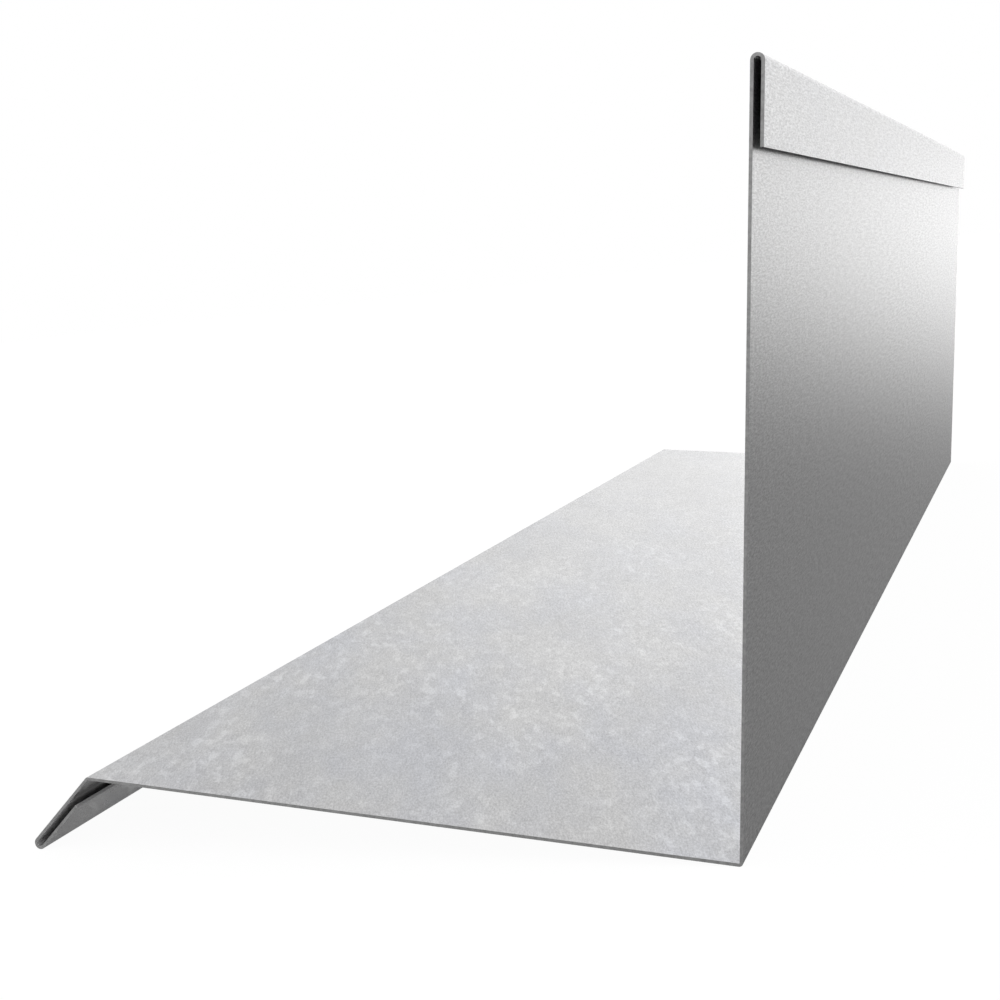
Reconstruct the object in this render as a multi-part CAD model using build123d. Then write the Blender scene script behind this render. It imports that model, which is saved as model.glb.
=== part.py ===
from build123d import *
import math
import os

# Wall abutment flashing: one strip of galvanised steel sheet, folded to one section along its whole length.
# The section lies in X and Z, with the wall side towards +X, and the length runs along Y.
# All sizes are in millimetres and all angles in degrees.

# Sheet
sheet_thickness = 0.6
fold_radius = 0.15  # inside radius of the two sharp folds

# Section, measured over the outside of the folds
upright_height = 135.0  # underside of the apron to the top of the upper hem
apron_width = 130.65  # wall face of the upright to the drip fold
drip_length = 20.3  # drip fold to the round edge of the lower hem
drip_angle = 48.7  # how far the drip turns down from the apron
corner_angle = 90.0  # turn between the upright and the apron

# Open hems: the length from round edge to slit edge, and the clear space between the two walls
upper_hem_length = 14.8  # on the wall side
upper_hem_gap = 1.2
lower_hem_length = 13.8  # under the drip
lower_hem_gap = 1.3

# Cut length of the strip
length = 465.0

# Radii of the middle and the outside of the sheet at the sharp folds and at each hem
half_sheet = sheet_thickness / 2
fold_middle = fold_radius + half_sheet
fold_outside = fold_radius + sheet_thickness
upper_hem_middle = upper_hem_gap / 2 + half_sheet
upper_hem_outside = upper_hem_gap / 2 + sheet_thickness
lower_hem_middle = lower_hem_gap / 2 + half_sheet
lower_hem_outside = lower_hem_gap / 2 + sheet_thickness

# Flat lengths that are left between the folds
corner_setback = fold_outside * math.tan(math.radians(corner_angle / 2))
drip_setback = fold_outside * math.tan(math.radians(drip_angle / 2))
upper_hem_flat = upper_hem_length - upper_hem_outside
upright_flat = upright_height - upper_hem_outside - corner_setback
apron_flat = apron_width - corner_setback - drip_setback
drip_flat = drip_length - drip_setback - lower_hem_outside
lower_hem_flat = lower_hem_length - lower_hem_outside

# The strip from slit edge to slit edge. Each fold has the flat before it, its turn and its middle radius.
HEM_TURN = 180.0
folds = {
    "upper hem": (upper_hem_flat, HEM_TURN, upper_hem_middle),
    "corner": (upright_flat, -corner_angle, fold_middle),
    "drip fold": (apron_flat, drip_angle, fold_middle),
    "lower hem": (drip_flat, HEM_TURN, lower_hem_middle),
}
slit_edge = (upper_hem_gap + half_sheet, upright_height - upper_hem_length)


def fold_strip(start, last_flat):
    """Draws the middle line of the sheet from its upper slit edge, heading up, and returns each fold's centre."""
    point, heading = Vector(*start), Vector(0, 1)
    centres = {}
    for name, (flat, turn, radius) in folds.items():
        wall = Line(point, point + heading * flat)
        arc = JernArc(start=wall @ 1, tangent=wall % 1, radius=radius, arc_size=turn)
        point, heading = arc @ 1, arc % 1
        centres[name] = arc.arc_center
    Line(point, point + heading * last_flat)
    return centres


with BuildPart() as flashing:
    with BuildSketch(Plane.XZ):
        with BuildLine():
            centres = fold_strip(slit_edge, lower_hem_flat)
        trace(line_width=sheet_thickness)
    extrude(amount=length / 2, both=True)

# Unheld, the strip lies on the outside of its corner fold and on the round edge of its lower hem.
# The tilt brings the undersides of those two rounds level. X and Y here are the flat section's own axes.
between = centres["corner"] - centres["lower hem"]
slope = math.atan2(between.Y, between.X)
rest_tilt = math.degrees(slope - math.asin((fold_outside - lower_hem_outside) / between.length))
resting = flashing.part.rotate(Axis.Y, rest_tilt)

# Origin at the middle of the footprint, on the floor
extent = resting.bounding_box()
resting = resting.translate((-extent.center().X, -extent.center().Y, -extent.min.Z))

os.makedirs("parts", exist_ok=True)
export_step(resting, "parts/flashing.step")
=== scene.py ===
import math

import bpy
import numpy as np
from mathutils import Matrix


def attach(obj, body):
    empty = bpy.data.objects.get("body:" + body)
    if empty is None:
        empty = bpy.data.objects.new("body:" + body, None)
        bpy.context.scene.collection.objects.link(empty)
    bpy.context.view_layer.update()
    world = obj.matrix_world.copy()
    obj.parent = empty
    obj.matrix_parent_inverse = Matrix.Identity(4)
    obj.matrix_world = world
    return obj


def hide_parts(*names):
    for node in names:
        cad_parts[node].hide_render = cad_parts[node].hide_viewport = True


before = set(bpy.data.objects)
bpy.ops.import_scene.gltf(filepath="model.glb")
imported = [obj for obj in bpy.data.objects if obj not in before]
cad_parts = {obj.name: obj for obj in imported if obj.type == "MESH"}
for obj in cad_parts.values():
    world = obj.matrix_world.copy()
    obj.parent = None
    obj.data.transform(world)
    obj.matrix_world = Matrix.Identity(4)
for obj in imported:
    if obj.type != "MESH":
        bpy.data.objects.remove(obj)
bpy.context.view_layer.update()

# Lengths below are in millimetres and angles in degrees, and the scene is in metres
MM = 0.001
QUARTER_TURN = 90.0

# Sizes of the folded sheet, as in the part's source
SHEET = 0.6
FOLD_RADIUS = 0.15
UPRIGHT = 135.0
APRON = 130.65
DRIP = 20.3
DRIP_ANGLE = 48.7
CORNER_ANGLE = 90.0
UPPER_HEM = 14.8
UPPER_HEM_GAP = 1.2
LOWER_HEM = 13.8
LOWER_HEM_GAP = 1.3
HEM_TURN = 180.0
LENGTH = 465.0

# Half the sheet, and the radii at its outside
HALF_SHEET = SHEET / 2
FOLD_OUTSIDE = FOLD_RADIUS + SHEET
UPPER_HEM_OUTSIDE = UPPER_HEM_GAP / 2 + SHEET
LOWER_HEM_OUTSIDE = LOWER_HEM_GAP / 2 + SHEET

# Fineness of the folds, and the small break on every sheared edge
STEP_ANGLE = 7.5
EDGE_BREAK = 0.02

# Order of the finishes on the sheet, and how far apart its two faces lie when they are mapped flat
WEATHER_FACE, WALL_FACE, HEM_FACE, DRIP_RETURN, CUT_END, UPPER_SLIT, LOWER_SLIT = range(7)
FACES_APART = 100.0

# Spangle of the zinc: size of its flakes, light patches and clouds, and how much each changes the tone
FLAKE_SIZE, FLAKE_TONE = 1.7, 0.14
PATCH_SIZE, PATCH_TONE = 2.7, 0.21
CLOUD_SIZE, CLOUD_TONE = 24.0, 0.20

# The noise that makes the flakes ragged: its scale against a flake, its detail, and how far it moves edges
RAGGED_SCALE, RAGGED_DETAIL, RAGGED_MOVE = 1.7, 3.0, 1.3

# The noises of patches and clouds, and the levels between which a patch begins and is whole
PATCH_DETAIL, CLOUD_DETAIL, SOFT_ROUGHNESS = 1.5, 3.0, 0.6
PATCH_EDGE = (0.50, 0.70)

# Levels of a cloud between which flakes and patches grow strong, and the zinc turns from neutral to blue
MOTTLED_AT, MOTTLED = (0.35, 0.65), (0.4, 1.4)
TINTED_AT = (0.36, 0.70)

# Along the length the spangle fades between these two places to this share of its strength
FADE_PLACES, FADED = (70.0, 370.0), 0.30

# Spangle of each face: its strength, how many times longer than wide it is, and its slant from the length
WEATHER_SPANGLE = (1.0, 2.4, -22.0)
WALL_SPANGLE = (0.05, 2.4, 0.0)
HEM_SPANGLE = (0.3, 2.4, 0.0)
RETURN_SPANGLE = (2.2, 5.0, 39.0)

# Grain from the skin rolls, fine then coarse: its size across and along the length, and how much it changes
# the tone at the near end and at the reach. The true grain is too fine to show. It is drawn as coarse as it
# needs to be, and coarser towards the far end.
WEATHER_GRAIN = (((0.36, 0.95), (1.35, 1.2)), ((0.54, 2.2), (0.5, 1.9)))
WALL_GRAIN = (((0.36, 1.9), (2.7, 0.4)), ((0.60, 6.0), (0.5, 2.9)))
GRAIN_REACH = 300.0
GRAIN_DETAIL, GRAIN_ROUGHNESS = 2.0, 0.9

# Colours of the zinc from dark to light, the tints of its clouds, and the middle level of every pattern
ZINC_TONES = ("#8c8b8c", "#c6c6c6")
NEUTRAL, FAINT_BLUE = "#ffffff", "#f7f9ff"
MIDDLE = 0.5

# How much of the zinc shines as bare metal under its thin dull skin, how rough it is, how far flakes differ
# in that, and how deep the coarse grain is
ZINC_METAL = 0.85
ZINC_ROUGHNESS, FLAKE_ROUGHNESS = 0.30, 0.02
ZINC_RELIEF = 0.008

# Inside the lower hem, where water stays, the zinc turns dull between these two distances from the slit edge
DULL_REACH, DULL_METAL = (29.0, 27.0), 0.15

# Cut steel: colours from dark to light at the ends, at the upper slit edge and at the lower one
SHEARED_TONES = ("#959595", "#ababab")
# Near-black at the upper slit edge is painted shade: a dark line that stands in for the shaded gap under the
# upper hem
PAINTED_SHADE_TONES = ("#2c2c2c", "#3a3a3a")
# Light at the lower slit edge is a painted highlight: a lighter copy of the cut steel for the light line
# along the drip's return
PAINTED_HIGHLIGHT_TONES = ("#d6d6d6", "#e6e6e6")

# Torn face of the cut steel: size and detail of its noise, the levels of its two colours, and its shine
TORN_SIZE, TORN_DETAIL = 0.6, 2.0
TORN_LEVELS = (0.3, 0.7)
CUT_METAL, CUT_ROUGHNESS = 1.0, 0.6

# Sockets of a colour mix
MIX_SHARE, MIX_FIRST, MIX_SECOND, MIX_RESULT = 0, 6, 7, 2

# Tent of light: its levels near the ground, below and above the horizon, and the sines of height between
# which it goes from one to the next. The camera itself sees it plain white.
TENT_GROUND = 0.31
TENT_BELOW = 0.215
TENT_ABOVE = 1.088
GROUND = (-0.68, -0.42)
HORIZON = (-0.1665, 0.0585)
TENT_SEEN = 1.0
WHITE = (1.0, 1.0, 1.0, 1.0)

# Brighter parts of the tent: a lamp and a large panel past the far end, and a card low on the drip's side.
# Each has its direction, the cosine at its edge and its gain.
PANELS = (
    ((-0.082, 0.995, -0.051), 0.985, 12.28),
    ((-0.045, 0.998, 0.045), 0.872, 1.51),
    ((-0.90, -0.35, -0.26), 0.45, 1.9),
)

# Floor
FLOOR_RADIUS = 20000.0
FLOOR_SIDES = 96
FLOOR_WHITE = 0.05
FLOOR_GLOW = 0.955

# Camera, from the outside corner of the near end: towards the wall, along the length, up
CAMERA_AT = (49.34, -254.22, 109.43)
CAMERA_HEADING = 20.0
CAMERA_PITCH = -7.65
CAMERA_ROLL = -0.45
LENS = 56.98
SENSOR = 36.0
FRAME_SHIFT = -0.07
NEAREST_SEEN = 10.0


def linear(hex_colour):
    """Linear RGBA of an sRGB hex colour."""
    srgb = np.array(list(bytes.fromhex(hex_colour[1:]))) / 255.0
    rgb = np.where(srgb <= 0.04045, srgb / 12.92, ((srgb + 0.055) / 1.055) ** 2.4)
    return (*(float(c) for c in rgb), 1.0)


def add(tree, kind, inputs=None, **settings):
    """A node of this kind with its settings. Each input is a value, or a node and its output to link."""
    made = tree.nodes.new(kind)
    for name, value in settings.items():
        setattr(made, name, value)
    for name, value in (inputs or {}).items():
        if isinstance(value, tuple) and isinstance(value[0], bpy.types.Node):
            tree.links.new(value[0].outputs[value[1]], made.inputs[name])
        else:
            made.inputs[name].default_value = value
    return made


# Section of the sheet

def pointing(angles):
    """Unit vectors of the section at these angles, which turn up from the wall side."""
    facing = np.radians(angles)
    return np.stack([np.cos(facing), np.sin(facing)], -1)


def left_of(headings):
    """Unit vectors a quarter turn to the left of these."""
    return np.stack([-headings[..., 1], headings[..., 0]], -1)


def middle_line():
    """Middle line of the sheet from its upper slit edge, heading up, and the centre of each fold.

    Each flat is a straight run, and each fold is an arc about a centre one radius to the side it turns to.
    Returns the points, the headings, the distance along the flattened sheet, and the centres.
    """
    corner_setback = FOLD_OUTSIDE * math.tan(math.radians(CORNER_ANGLE / 2))
    drip_setback = FOLD_OUTSIDE * math.tan(math.radians(DRIP_ANGLE / 2))
    walk = (
        (UPPER_HEM - UPPER_HEM_OUTSIDE, HEM_TURN, UPPER_HEM_OUTSIDE - HALF_SHEET),
        (UPRIGHT - UPPER_HEM_OUTSIDE - corner_setback, -CORNER_ANGLE, FOLD_OUTSIDE - HALF_SHEET),
        (APRON - corner_setback - drip_setback, DRIP_ANGLE, FOLD_OUTSIDE - HALF_SHEET),
        (DRIP - drip_setback - LOWER_HEM_OUTSIDE, HEM_TURN, LOWER_HEM_OUTSIDE - HALF_SHEET),
    )
    place = np.array([UPPER_HEM_GAP + HALF_SHEET, UPRIGHT - UPPER_HEM])
    turned, distance = QUARTER_TURN, 0.0
    points, turns, distances, centres = [place[None]], [[turned]], [[distance]], []
    for flat, turn, radius in walk:
        ahead = pointing(turned)
        side = math.copysign(radius, turn)
        centre = place + flat * ahead + side * left_of(ahead)
        steps = np.linspace(0.0, turn, math.ceil(abs(turn) / STEP_ANGLE) + 1)
        points.append(centre - side * left_of(pointing(turned + steps)))
        turns.append(turned + steps)
        distances.append(distance + flat + radius * np.radians(np.abs(steps)))
        centres.append(centre)
        place, turned, distance = points[-1][-1], turns[-1][-1], distances[-1][-1]
    last_flat = LOWER_HEM - LOWER_HEM_OUTSIDE
    points.append(place + last_flat * pointing([turned]))
    turns.append([turned])
    distances.append([distance + last_flat])
    headings = pointing(np.concatenate(turns))
    return np.concatenate(points), headings, np.concatenate(distances), centres


def rest_matrix(centres):
    """Matrix from the section's frame, at the outside corner of the near end, to the part's frame.

    The part lies on the outside of its corner fold and on its lower hem. The turn about the length makes the
    undersides of those two rounds level, and the shift puts the middle of the footprint at the origin.
    """
    upper_hem, corner, _, lower_hem = centres
    between = corner - lower_hem
    lean = math.asin((FOLD_OUTSIDE - LOWER_HEM_OUTSIDE) / np.hypot(*between))
    turn = Matrix.Rotation(math.atan2(between[1], between[0]) - lean, 4, "Y")

    def turned(centre):
        return turn @ Matrix.Translation((centre[0], 0.0, centre[1])).translation

    left = turned(lower_hem).x - LOWER_HEM_OUTSIDE
    right = turned(upper_hem).x + UPPER_HEM_OUTSIDE
    floor = turned(corner).z - FOLD_OUTSIDE
    return Matrix.Translation((-(left + right) / 2, -LENGTH / 2, -floor)) @ turn


def section_ring(points, headings, inset):
    """Closed section: the weather face forward, then the wall face back, each half a sheet from the middle.

    The inset draws both faces and both slit edges in, which leaves the small break on the sheared edges.
    """
    left = left_of(headings) * (HALF_SHEET - inset)
    moved = points.copy()
    moved[0] += inset * headings[0]
    moved[-1] -= inset * headings[-1]
    return np.concatenate([moved - left, (moved + left)[::-1]])


def folded_sheet(points, headings, along, place):
    """The sheet as its section carried along the length.

    The ring of the section stands at four stations: drawn in by the edge break at each end, and whole just
    inside that. Quads join each ring to the next, and the ends are closed by quads between the two faces.
    The map named sheet has the place on the flattened sheet, in metres, with the two faces side by side.
    """
    count = len(points)
    ring_size = 2 * count
    whole, drawn_in = section_ring(points, headings, 0.0), section_ring(points, headings, EDGE_BREAK)
    stations = ((drawn_in, 0.0), (whole, EDGE_BREAK), (whole, LENGTH - EDGE_BREAK), (drawn_in, LENGTH))
    rings = [np.stack([ring[:, 0], np.full(ring_size, y), ring[:, 1]], 1) for ring, y in stations]
    section = np.concatenate(rings)
    turn = np.array(place)
    vertices = (section @ turn[:3, :3].T + turn[:3, 3]) * MM

    # Quads along the walls and across the two ends, and where on the ring each of their corners lies
    i = np.arange(ring_size)
    j = (i + 1) % ring_size
    band = np.stack([i, i + ring_size, j + ring_size, j], 1)
    walls = np.concatenate([band + k * ring_size for k in range(len(stations) - 1)])
    k = np.arange(count - 1)
    near_end = np.stack([k, k + 1, ring_size - 2 - k, ring_size - 1 - k], 1)
    far_end = near_end[:, ::-1] + (len(stations) - 1) * ring_size
    faces = np.concatenate([walls, near_end, far_end])
    spot = faces % ring_size

    # The slit edges, and all that is cut: those, the two ends and the breaks beside the ends
    upper_slit = (spot == ring_size - 1).any(1) & (spot == 0).any(1)
    lower_slit = (spot == count - 1).any(1) & (spot == count).any(1)
    upper_slit[len(walls):] = False
    lower_slit[len(walls):] = False
    cut = upper_slit | lower_slit
    cut[:ring_size] = True
    cut[2 * ring_size:] = True

    # Smooth normals on the two faces, which are exact at the folds, and flat ones where the sheet is cut
    across = np.stack([headings[:, 1], np.zeros(count), -headings[:, 0]], 1)
    ring_normals = np.concatenate([across, -across[::-1]]) @ turn[:3, :3].T
    corner = vertices[faces]
    flat = np.cross(corner[:, 2] - corner[:, 0], corner[:, 3] - corner[:, 1])
    flat /= np.linalg.norm(flat, axis=1, keepdims=True)
    normals = np.where(cut[:, None, None], flat[:, None, :], ring_normals[spot])

    # Finishes, where the upper hem ends at the last step of its bend and the drip's return is the last flat
    hem_end = math.ceil(HEM_TURN / STEP_ANGLE) + 1
    finish = np.where((spot >= count).all(1), WALL_FACE, WEATHER_FACE)
    finish[(spot <= hem_end).all(1)] = HEM_FACE
    finish[((spot == count - 2) | (spot == count - 1)).all(1)] = DRIP_RETURN
    finish[cut] = CUT_END
    finish[upper_slit] = UPPER_SLIT
    finish[lower_slit] = LOWER_SLIT

    flattened = np.concatenate([along, along[::-1] + along[-1] + FACES_APART]) * MM
    sheet_map = np.stack([flattened[spot], section[faces][..., 1] * MM], -1)
    mesh = bpy.data.meshes.new("folded_sheet")
    mesh.from_pydata(vertices.tolist(), [], faces.tolist())
    mesh.uv_layers.new(name="sheet").uv.foreach_set("vector", sheet_map.astype(np.float32).ravel())
    mesh.polygons.foreach_set("material_index", finish.astype(np.int32))
    mesh.polygons.foreach_set("use_smooth", np.ones(len(faces), bool))
    mesh.normals_split_custom_set(normals.reshape(-1, 3).tolist())
    mesh.update()
    return mesh


# Finishes

def bare_material(name):
    """A new material with an empty node tree, and that tree."""
    material = bpy.data.materials.new(name)
    material.use_nodes = True
    material.node_tree.nodes.clear()
    return material, material.node_tree


def ragged_flakes(tree, place):
    """Cells about scattered points, with edges moved by a noise.

    Red is each flake's tone, and Green its roughness.
    """
    ragged = add(tree, "ShaderNodeTexNoise",
                 {"Vector": place, "Scale": RAGGED_SCALE, "Detail": RAGGED_DETAIL}, noise_dimensions="2D")
    moved = add(tree, "ShaderNodeVectorMath",
                {0: (ragged, "Color"), 1: (RAGGED_MOVE, RAGGED_MOVE, 0.0), 2: place},
                operation="MULTIPLY_ADD")
    flake = add(tree, "ShaderNodeTexVoronoi",
                {"Vector": (moved, "Vector"), "Scale": 1.0}, voronoi_dimensions="2D")
    return add(tree, "ShaderNodeSeparateColor", {"Color": (flake, "Color")})


def light_patches(tree, place):
    """Light patches with blurred edges, where a soft noise is high."""
    field = add(tree, "ShaderNodeTexNoise",
                {"Vector": place, "Scale": 1.0, "Detail": PATCH_DETAIL, "Roughness": SOFT_ROUGHNESS},
                noise_dimensions="2D")
    return add(tree, "ShaderNodeMapRange",
               {"Value": (field, "Fac"), "From Min": PATCH_EDGE[0], "From Max": PATCH_EDGE[1]},
               interpolation_type="SMOOTHSTEP")


def soft_clouds(tree, place):
    """Broad soft noise.

    Red is a cloud's tone, Green its tint, and Blue how strong flakes and patches are in it.
    """
    cloud = add(tree, "ShaderNodeTexNoise",
                {"Vector": place, "Scale": 1.0, "Detail": CLOUD_DETAIL, "Roughness": SOFT_ROUGHNESS},
                noise_dimensions="2D")
    return add(tree, "ShaderNodeSeparateColor", {"Color": (cloud, "Color")})


def galvanised_steel(face, spangle, grains, slit_at=None):
    """Hot-dip galvanised steel sheet: zinc frozen as a soft mottled spangle, then lightly skin-rolled.

    The eye sees a satin grey metal whose flakes differ a little in tone, with light patches, neutral to
    faintly blue clouds and a fine grain. The spangle fades along the length. A face that ends at a slit edge
    inside a hem has the place of that edge on the flattened sheet, and its zinc is dull there.
    """
    share, drawn_out, slant = spangle
    material, tree = bare_material("hot_dip_galvanised_steel_" + face)
    sheet = add(tree, "ShaderNodeUVMap", uv_map="sheet")
    flat = add(tree, "ShaderNodeSeparateXYZ", {"Vector": (sheet, "UV")})

    # Each pattern's own place, where one unit is one cell of the pattern
    sizes = [(size, size * drawn_out) for size in (FLAKE_SIZE, PATCH_SIZE, CLOUD_SIZE)]
    sizes += [size for size, _ in grains]
    places = []
    for across, along in sizes:
        cell = add(tree, "ShaderNodeMapping",
                   {"Vector": (sheet, "UV"), "Scale": (across * MM, along * MM, 1.0),
                    "Rotation": (0.0, 0.0, math.radians(slant))}, vector_type="TEXTURE")
        places.append((cell, "Vector"))
    flake_place, patch_place, cloud_place, *grain_places = places
    flake = ragged_flakes(tree, flake_place)
    patch = light_patches(tree, patch_place)
    cloud = soft_clouds(tree, cloud_place)

    # Strength of flakes and patches, which fades along the length and differs from cloud to cloud
    fade = add(tree, "ShaderNodeMapRange",
               {"Value": (flat, "Y"), "From Min": FADE_PLACES[0] * MM, "From Max": FADE_PLACES[1] * MM,
                "To Min": share, "To Max": share * FADED})
    mottled = add(tree, "ShaderNodeMapRange",
                  {"Value": (cloud, "Blue"), "From Min": MOTTLED_AT[0], "From Max": MOTTLED_AT[1],
                   "To Min": MOTTLED[0], "To Max": MOTTLED[1]})
    strength = add(tree, "ShaderNodeMath",
                   {0: (mottled, "Result"), 1: (fade, "Result")}, operation="MULTIPLY")

    # Tone of the zinc as the sum of the patterns about the middle
    start = MIDDLE - MIDDLE * share * (FLAKE_TONE + CLOUD_TONE)
    tone = add(tree, "ShaderNodeMath",
               {0: (cloud, "Red"), 1: CLOUD_TONE * share, 2: start}, operation="MULTIPLY_ADD")
    for (_, (near, far)), place in zip(grains, grain_places):
        grain = add(tree, "ShaderNodeTexNoise",
                    {"Vector": place, "Scale": 1.0, "Detail": GRAIN_DETAIL, "Roughness": GRAIN_ROUGHNESS},
                    noise_dimensions="2D")
        weight = add(tree, "ShaderNodeMapRange",
                     {"Value": (flat, "Y"), "From Max": GRAIN_REACH * MM, "To Min": near, "To Max": far})
        centred = add(tree, "ShaderNodeMath", {0: (grain, "Fac"), 1: MIDDLE}, operation="SUBTRACT")
        tone = add(tree, "ShaderNodeMath",
                   {0: (centred, "Value"), 1: (weight, "Result"), 2: (tone, "Value")},
                   operation="MULTIPLY_ADD")
    for pattern, weight in (((flake, "Red"), FLAKE_TONE), ((patch, "Result"), PATCH_TONE)):
        part = add(tree, "ShaderNodeMath", {0: pattern, 1: (strength, "Value")}, operation="MULTIPLY")
        tone = add(tree, "ShaderNodeMath",
                   {0: (part, "Value"), 1: weight, 2: (tone, "Value")}, operation="MULTIPLY_ADD")

    # Colour from the tone, tinted by the clouds
    zinc = add(tree, "ShaderNodeValToRGB", {"Fac": (tone, "Value")})
    for stop, colour in zip(zinc.color_ramp.elements, ZINC_TONES):
        stop.color = linear(colour)
    tinted = add(tree, "ShaderNodeMapRange",
                 {"Value": (cloud, "Green"), "From Min": TINTED_AT[0], "From Max": TINTED_AT[1]})
    tint = add(tree, "ShaderNodeMix",
               {MIX_SHARE: (tinted, "Result"), MIX_FIRST: linear(NEUTRAL), MIX_SECOND: linear(FAINT_BLUE)},
               data_type="RGBA")
    colour = add(tree, "ShaderNodeMix",
                 {MIX_SHARE: (fade, "Result"), MIX_FIRST: (zinc, "Color"), MIX_SECOND: (tint, MIX_RESULT)},
                 data_type="RGBA", blend_type="MULTIPLY")

    # Shine of the flakes, the dull zinc before a slit edge, and the relief of the last, coarse grain
    rough = add(tree, "ShaderNodeMapRange",
                {"Value": (flake, "Green"), "To Min": ZINC_ROUGHNESS - FLAKE_ROUGHNESS * share,
                 "To Max": ZINC_ROUGHNESS + FLAKE_ROUGHNESS * share})
    metal = ZINC_METAL
    if slit_at is not None:
        dull = add(tree, "ShaderNodeMapRange",
                   {"Value": (flat, "X"), "From Min": (slit_at - DULL_REACH[0]) * MM,
                    "From Max": (slit_at - DULL_REACH[1]) * MM, "To Min": ZINC_METAL, "To Max": DULL_METAL})
        metal = (dull, "Result")
    relief = add(tree, "ShaderNodeBump", {"Distance": ZINC_RELIEF * MM, "Height": (grain, "Fac")})
    shader = add(tree, "ShaderNodeBsdfPrincipled",
                 {"Base Color": (colour, MIX_RESULT), "Metallic": metal, "Roughness": (rough, "Result"),
                  "Normal": (relief, "Normal")})
    add(tree, "ShaderNodeOutputMaterial", {"Surface": (shader, "BSDF")})
    return material


def cut_steel(name, tones):
    """Bare steel where a blade went through the sheet: a finely torn face between a dark and a light tone.

    The eye sees a matt grey line along each edge, with no spangle.
    """
    material, tree = bare_material(name)
    place = add(tree, "ShaderNodeTexCoord")
    torn = add(tree, "ShaderNodeTexNoise",
               {"Vector": (place, "Object"), "Scale": 1 / (TORN_SIZE * MM), "Detail": TORN_DETAIL})
    ramp = add(tree, "ShaderNodeValToRGB", {"Fac": (torn, "Fac")})
    for stop, level, colour in zip(ramp.color_ramp.elements, TORN_LEVELS, tones):
        stop.position = level
        stop.color = linear(colour)
    shader = add(tree, "ShaderNodeBsdfPrincipled",
                 {"Base Color": (ramp, "Color"), "Metallic": CUT_METAL, "Roughness": CUT_ROUGHNESS})
    add(tree, "ShaderNodeOutputMaterial", {"Surface": (shader, "BSDF")})
    return material


# Studio

def white_tent():
    """Soft white light from above a blurred horizon, dim below it, with soft-edged brighter parts."""
    world = bpy.data.worlds.new("white_tent")
    world.use_nodes = True
    tree = world.node_tree
    tree.nodes.clear()
    place = add(tree, "ShaderNodeTexCoord")
    height = add(tree, "ShaderNodeSeparateXYZ", {"Vector": (place, "Generated")})
    ground = add(tree, "ShaderNodeMapRange",
                 {"Value": (height, "Z"), "From Min": GROUND[0], "From Max": GROUND[1],
                  "To Min": TENT_GROUND, "To Max": TENT_BELOW}, interpolation_type="SMOOTHSTEP")
    tent = add(tree, "ShaderNodeMapRange",
               {"Value": (height, "Z"), "From Min": HORIZON[0], "From Max": HORIZON[1],
                "To Min": (ground, "Result"), "To Max": TENT_ABOVE}, interpolation_type="SMOOTHSTEP")
    level = (tent, "Result")
    for panel_at, edge, gain in PANELS:
        towards = add(tree, "ShaderNodeVectorMath",
                      {0: (place, "Generated"), 1: panel_at}, operation="DOT_PRODUCT")
        panel = add(tree, "ShaderNodeMapRange",
                    {"Value": (towards, "Value"), "From Min": edge, "From Max": 1.0,
                     "To Min": 1.0, "To Max": gain}, interpolation_type="SMOOTHSTEP")
        lit = add(tree, "ShaderNodeMath", {0: level, 1: (panel, "Result")}, operation="MULTIPLY")
        level = (lit, "Value")
    light = add(tree, "ShaderNodeBackground", {"Strength": level, "Color": WHITE})
    backdrop = add(tree, "ShaderNodeBackground", {"Strength": TENT_SEEN, "Color": WHITE})
    ray = add(tree, "ShaderNodeLightPath")
    seen = add(tree, "ShaderNodeMixShader",
               {0: (ray, "Is Camera Ray"), 1: (light, "Background"), 2: (backdrop, "Background")})
    add(tree, "ShaderNodeOutputWorld", {"Surface": (seen, "Shader")})
    bpy.context.scene.world = world


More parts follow.
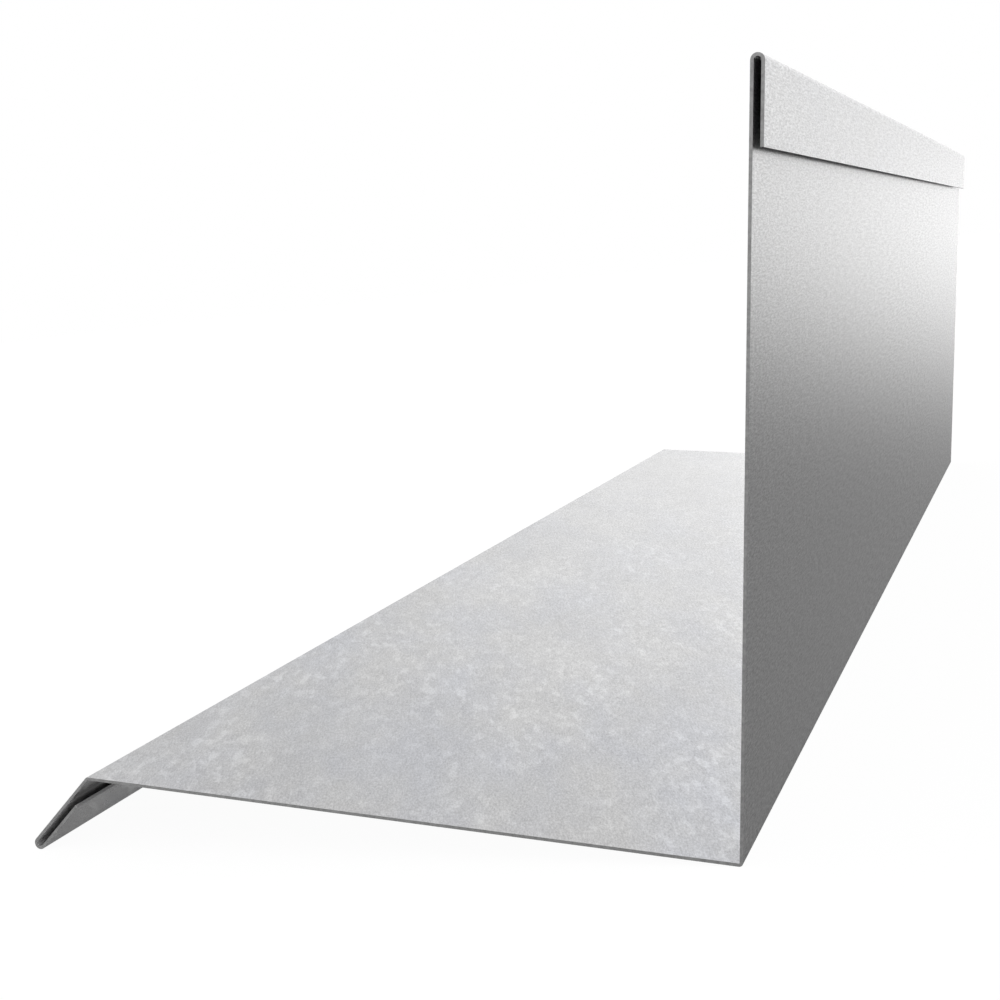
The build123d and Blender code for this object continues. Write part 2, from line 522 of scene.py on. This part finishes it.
def pale_floor():
    """Round flat light table at the height the part rests on, lit from below so that its shadows stay faint.

    It is kept out of reflections, so the underside of the part mirrors the dim lower half of the tent.
    """
    angle = np.linspace(0.0, 2 * math.pi, FLOOR_SIDES, endpoint=False)
    rim = np.stack([np.cos(angle), np.sin(angle), np.zeros(FLOOR_SIDES)], 1) * (FLOOR_RADIUS * MM)
    mesh = bpy.data.meshes.new("floor")
    mesh.from_pydata(rim.tolist(), [], [list(range(FLOOR_SIDES))])
    floor = bpy.data.objects.new("floor", mesh)
    bpy.context.scene.collection.objects.link(floor)
    material, tree = bare_material("opal_acrylic_light_table")
    shader = add(tree, "ShaderNodeBsdfPrincipled",
                 {"Base Color": (FLOOR_WHITE, FLOOR_WHITE, FLOOR_WHITE, 1.0), "Roughness": 1.0,
                  "Specular IOR Level": 0.0, "Emission Color": WHITE, "Emission Strength": FLOOR_GLOW})
    add(tree, "ShaderNodeOutputMaterial", {"Surface": (shader, "BSDF")})
    mesh.materials.append(material)
    floor.visible_glossy = False


def photo_camera(place):
    """Camera of the photograph, which turns with the part, so the part lies in the frame as it does there.

    An unturned camera looks straight down, so a quarter turn makes it level before it is pitched.
    """
    data = bpy.data.cameras.new("camera")
    data.lens, data.sensor_width, data.shift_y = LENS, SENSOR, FRAME_SHIFT
    data.clip_start = NEAREST_SEEN * MM
    camera = bpy.data.objects.new("camera", data)
    bpy.context.scene.collection.objects.link(camera)
    aim = (Matrix.Translation(CAMERA_AT) @ Matrix.Rotation(math.radians(CAMERA_HEADING), 4, "Z")
           @ Matrix.Rotation(math.radians(QUARTER_TURN + CAMERA_PITCH), 4, "X")
           @ Matrix.Rotation(math.radians(CAMERA_ROLL), 4, "Z"))
    seen = place @ aim
    seen.translation = seen.translation * MM
    camera.matrix_world = seen
    bpy.context.scene.camera = camera


points, headings, along, centres = middle_line()
place = rest_matrix(centres)
sheet = bpy.data.objects.new("folded_sheet", folded_sheet(points, headings, along, place))
bpy.context.scene.collection.objects.link(sheet)
finishes = (
    galvanised_steel("weather_face", WEATHER_SPANGLE, WEATHER_GRAIN),
    galvanised_steel("wall_face", WALL_SPANGLE, WALL_GRAIN, slit_at=2 * along[-1] + FACES_APART),
    galvanised_steel("hem_face", HEM_SPANGLE, WALL_GRAIN),
    galvanised_steel("drip_return", RETURN_SPANGLE, WEATHER_GRAIN),
    cut_steel("sheared_steel_edge", SHEARED_TONES),
    # Upper slit edge, painted near-black as the shade under the upper hem
    cut_steel("painted_shade_upper_slit_edge", PAINTED_SHADE_TONES),
    # Lower slit edge, painted lighter as a highlight along the drip's return
    cut_steel("painted_highlight_lower_slit_edge", PAINTED_HIGHLIGHT_TONES),
)
for finish in finishes:
    sheet.data.materials.append(finish)
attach(sheet, "root")
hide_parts("flashing")

white_tent()
pale_floor()
photo_camera(place)
bpy.context.scene.view_settings.view_transform = "Standard"
